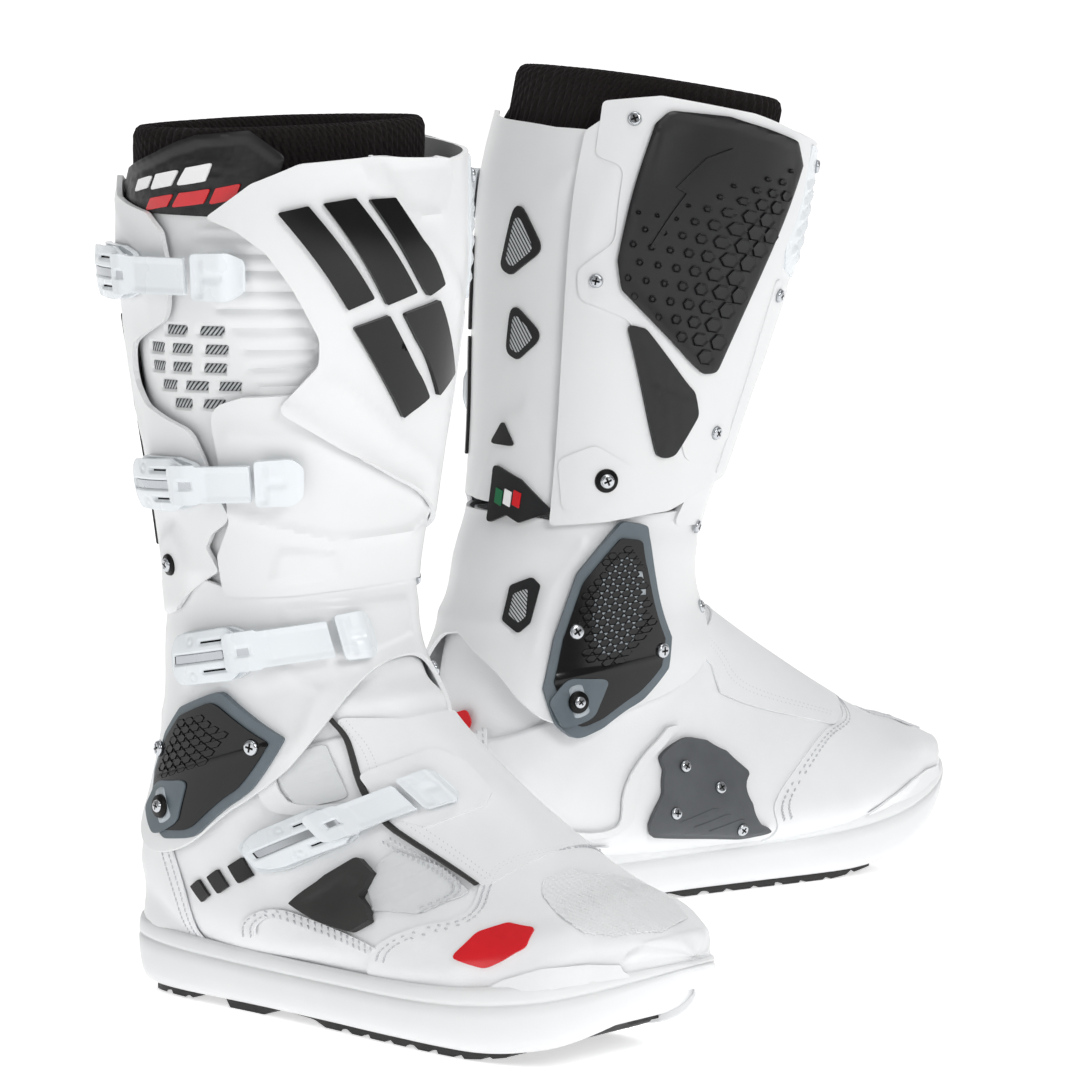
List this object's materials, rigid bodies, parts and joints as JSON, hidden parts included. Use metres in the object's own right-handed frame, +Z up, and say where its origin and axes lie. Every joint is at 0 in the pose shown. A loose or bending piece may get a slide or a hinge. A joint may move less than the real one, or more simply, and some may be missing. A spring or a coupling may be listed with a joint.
{
  "type": "motocross riding boots",
  "caption": "Pair of tall motocross riding boots with hinged ankles, moulded shells and lever buckles with coupled straps.",
  "frame": {"origin": "centre of the pair's bounding box, on the ground under the soles", "axes": "+Z up, -Y towards the side the picture was taken from, +X to its right; the toes point towards +X, the right boot's also towards -Y and the left boot's towards +Y"},
  "size_m": [0.415, 0.5654, 0.416],
  "materials": {
    "shell_white": "satin injection moulded",
    "upper_leather": "coated fine grain",
    "lining_knit": "ribbed knit",
    "rubber_black": "satin moulded",
    "pad_grey": "matt moulded",
    "plate_grey": "satin moulded",
    "strap_white": "satin nylon"
  },
  "bodies": {
    "right_foot": {"right_outsole": "rubber_black", "right_sole_cup": "shell_white", "right_foot_upper": "upper_leather", "right_heel_cup": "shell_white", "right_shift_pad": "pad_grey", "right_ankle_gaiter": "upper_leather", "right_buckle_base_4": "shell_white", "right_strap_anchor_4": "strap_white"},
    "right_shaft": {"right_knit_collar": "lining_knit", "right_side_panel": "shell_white", "right_calf_shell": "shell_white", "right_shin_plate": "shell_white", "right_grip_panel": "rubber_black", "right_ankle_cuff": "shell_white", "right_outer_ankle_plate": "plate_grey", "right_inner_ankle_plate": "plate_grey", "right_buckle_base_1": "shell_white", "right_strap_anchor_1": "strap_white", "right_buckle_base_2": "shell_white", "right_strap_anchor_2": "strap_white", "right_buckle_base_3": "shell_white", "right_strap_anchor_3": "strap_white"},
    "right_lever_1": {"right_buckle_lever_1": "strap_white"},
    "right_strap_1": {"right_strap_1": "strap_white"},
    "right_lever_2": {"right_buckle_lever_2": "strap_white"},
    "right_strap_2": {"right_strap_2": "strap_white"},
    "right_lever_3": {"right_buckle_lever_3": "strap_white"},
    "right_strap_3": {"right_strap_3": "strap_white"},
    "right_lever_4": {"right_buckle_lever_4": "strap_white"},
    "right_strap_4": {"right_strap_4": "strap_white"},
    "left_foot": {"left_outsole": "rubber_black", "left_sole_cup": "shell_white", "left_foot_upper": "upper_leather", "left_heel_cup": "shell_white", "left_shift_pad": "pad_grey", "left_ankle_gaiter": "upper_leather", "left_buckle_base_4": "shell_white", "left_strap_anchor_4": "strap_white"},
    "left_shaft": {"left_knit_collar": "lining_knit", "left_side_panel": "shell_white", "left_calf_shell": "shell_white", "left_shin_plate": "shell_white", "left_grip_panel": "rubber_black", "left_ankle_cuff": "shell_white", "left_outer_ankle_plate": "plate_grey", "left_inner_ankle_plate": "plate_grey", "left_buckle_base_1": "shell_white", "left_strap_anchor_1": "strap_white", "left_buckle_base_2": "shell_white", "left_strap_anchor_2": "strap_white", "left_buckle_base_3": "shell_white", "left_strap_anchor_3": "strap_white"},
    "left_lever_1": {"left_buckle_lever_1": "strap_white"},
    "left_strap_1": {"left_strap_1": "strap_white"},
    "left_lever_2": {"left_buckle_lever_2": "strap_white"},
    "left_strap_2": {"left_strap_2": "strap_white"},
    "left_lever_3": {"left_buckle_lever_3": "strap_white"},
    "left_strap_3": {"left_strap_3": "strap_white"},
    "left_lever_4": {"left_buckle_lever_4": "strap_white"},
    "left_strap_4": {"left_strap_4": "strap_white"}
  },
  "joints": [
    {"name": "right_ankle_flex", "type": "hinge", "parent": "right_foot", "child": "right_shaft", "pos_m": [-0.10364, -0.12397, 0.122], "axis": [0.6561, 0.7547, 0], "range_deg": [-3, 20], "deforming": ["right_ankle_gaiter"]},
    {"name": "right_lever_1_open", "type": "hinge", "parent": "right_shaft", "child": "right_lever_1", "pos_m": [-0.192, -0.14714, 0.34211], "axis": [-0.0771, -0.0301, 0.9966], "range_deg": [0, 100]},
    {"name": "right_strap_1_lift", "type": "hinge", "parent": "right_shaft", "child": "right_strap_1", "pos_m": [-0.16312, -0.17596, 0.34345], "axis": [-0.0383, -0.0659, 0.9971], "range_deg": [0, 50]},
    {"name": "right_lever_2_open", "type": "hinge", "parent": "right_shaft", "child": "right_lever_2", "pos_m": [-0.16368, -0.16234, 0.2474], "axis": [-0.1042, -0.0874, 0.9907], "range_deg": [0, 100]},
    {"name": "right_strap_2_lift", "type": "hinge", "parent": "right_shaft", "child": "right_strap_2", "pos_m": [-0.1332, -0.1812, 0.25008], "axis": [-0.0444, -0.1282, 0.9908], "range_deg": [0, 50]},
    {"name": "right_lever_3_open", "type": "hinge", "parent": "right_shaft", "child": "right_lever_3", "pos_m": [-0.13562, -0.1715, 0.17268], "axis": [-0.187, 0.0344, 0.9818], "range_deg": [0, 100]},
    {"name": "right_strap_3_lift", "type": "hinge", "parent": "right_shaft", "child": "right_strap_3", "pos_m": [-0.09644, -0.17769, 0.17927], "axis": [-0.2729, 0.0986, 0.957], "range_deg": [0, 50]},
    {"name": "right_lever_4_open", "type": "hinge", "parent": "right_foot", "child": "right_lever_4", "pos_m": [-0.09532, -0.19252, 0.09743], "axis": [-0.6561, 0.5185, 0.5483], "range_deg": [0, 90]},
    {"name": "right_strap_4_lift", "type": "hinge", "parent": "right_foot", "child": "right_strap_4", "pos_m": [-0.06363, -0.2049, 0.11174], "axis": [-0.6707, 0.5155, 0.5333], "range_deg": [0, 45]},
    {"name": "left_ankle_flex", "type": "hinge", "parent": "left_foot", "child": "left_shaft", "pos_m": [0.0201, 0.13295, 0.122], "axis": [-0.6018, 0.7986, 0], "range_deg": [-16, 7], "deforming": ["left_ankle_gaiter"]},
    {"name": "left_lever_1_open", "type": "hinge", "parent": "left_shaft", "child": "left_lever_1", "pos_m": [-0.02584, 0.19281, 0.34805], "axis": [-0.105, -0.1709, -0.9797], "range_deg": [0, 100]},
    {"name": "left_strap_1_lift", "type": "hinge", "parent": "left_shaft", "child": "left_strap_1", "pos_m": [0.00439, 0.2191, 0.34021], "axis": [-0.1452, -0.2031, -0.9683], "range_deg": [0, 50]},
    {"name": "left_lever_2_open", "type": "hinge", "parent": "left_shaft", "child": "left_lever_2", "pos_m": [-0.01418, 0.1927, 0.24872], "axis": [-0.0806, -0.2289, -0.9701], "range_deg": [0, 100]},
    {"name": "left_strap_2_lift", "type": "hinge", "parent": "left_shaft", "child": "left_strap_2", "pos_m": [0.01729, 0.2092, 0.24337], "axis": [-0.1416, -0.2643, -0.954], "range_deg": [0, 50]},
    {"name": "left_lever_3_open", "type": "hinge", "parent": "left_shaft", "child": "left_lever_3", "pos_m": [0.00047, 0.18934, 0.1698], "axis": [0.0092, -0.1142, -0.9934], "range_deg": [0, 100]},
    {"name": "left_strap_3_lift", "type": "hinge", "parent": "left_shaft", "child": "left_strap_3", "pos_m": [0.04048, 0.19316, 0.16866], "axis": [0.1017, -0.0544, -0.9933], "range_deg": [0, 50]},
    {"name": "left_lever_4_open", "type": "hinge", "parent": "left_foot", "child": "left_lever_4", "pos_m": [0.03317, 0.20074, 0.09743], "axis": [0.6906, 0.4715, -0.5483], "range_deg": [0, 90]},
    {"name": "left_strap_4_lift", "type": "hinge", "parent": "left_foot", "child": "left_strap_4", "pos_m": [0.06566, 0.21089, 0.11174], "axis": [0.705, 0.4675, -0.5333], "range_deg": [0, 45]},
    {"name": "left_boot_lift", "type": "slide", "parent": "right_foot", "child": "left_foot", "axis": [0, 0, 1], "range_m": [0, 0.3]}
  ],
  "couplings": [
    {"joint": "right_strap_1_lift", "follows": "right_lever_1_open", "ratio": 0.5},
    {"joint": "right_strap_2_lift", "follows": "right_lever_2_open", "ratio": 0.5},
    {"joint": "right_strap_3_lift", "follows": "right_lever_3_open", "ratio": 0.5},
    {"joint": "right_strap_4_lift", "follows": "right_lever_4_open", "ratio": 0.5},
    {"joint": "left_strap_1_lift", "follows": "left_lever_1_open", "ratio": 0.5},
    {"joint": "left_strap_2_lift", "follows": "left_lever_2_open", "ratio": 0.5},
    {"joint": "left_strap_3_lift", "follows": "left_lever_3_open", "ratio": 0.5},
    {"joint": "left_strap_4_lift", "follows": "left_lever_4_open", "ratio": 0.5}
  ]
}
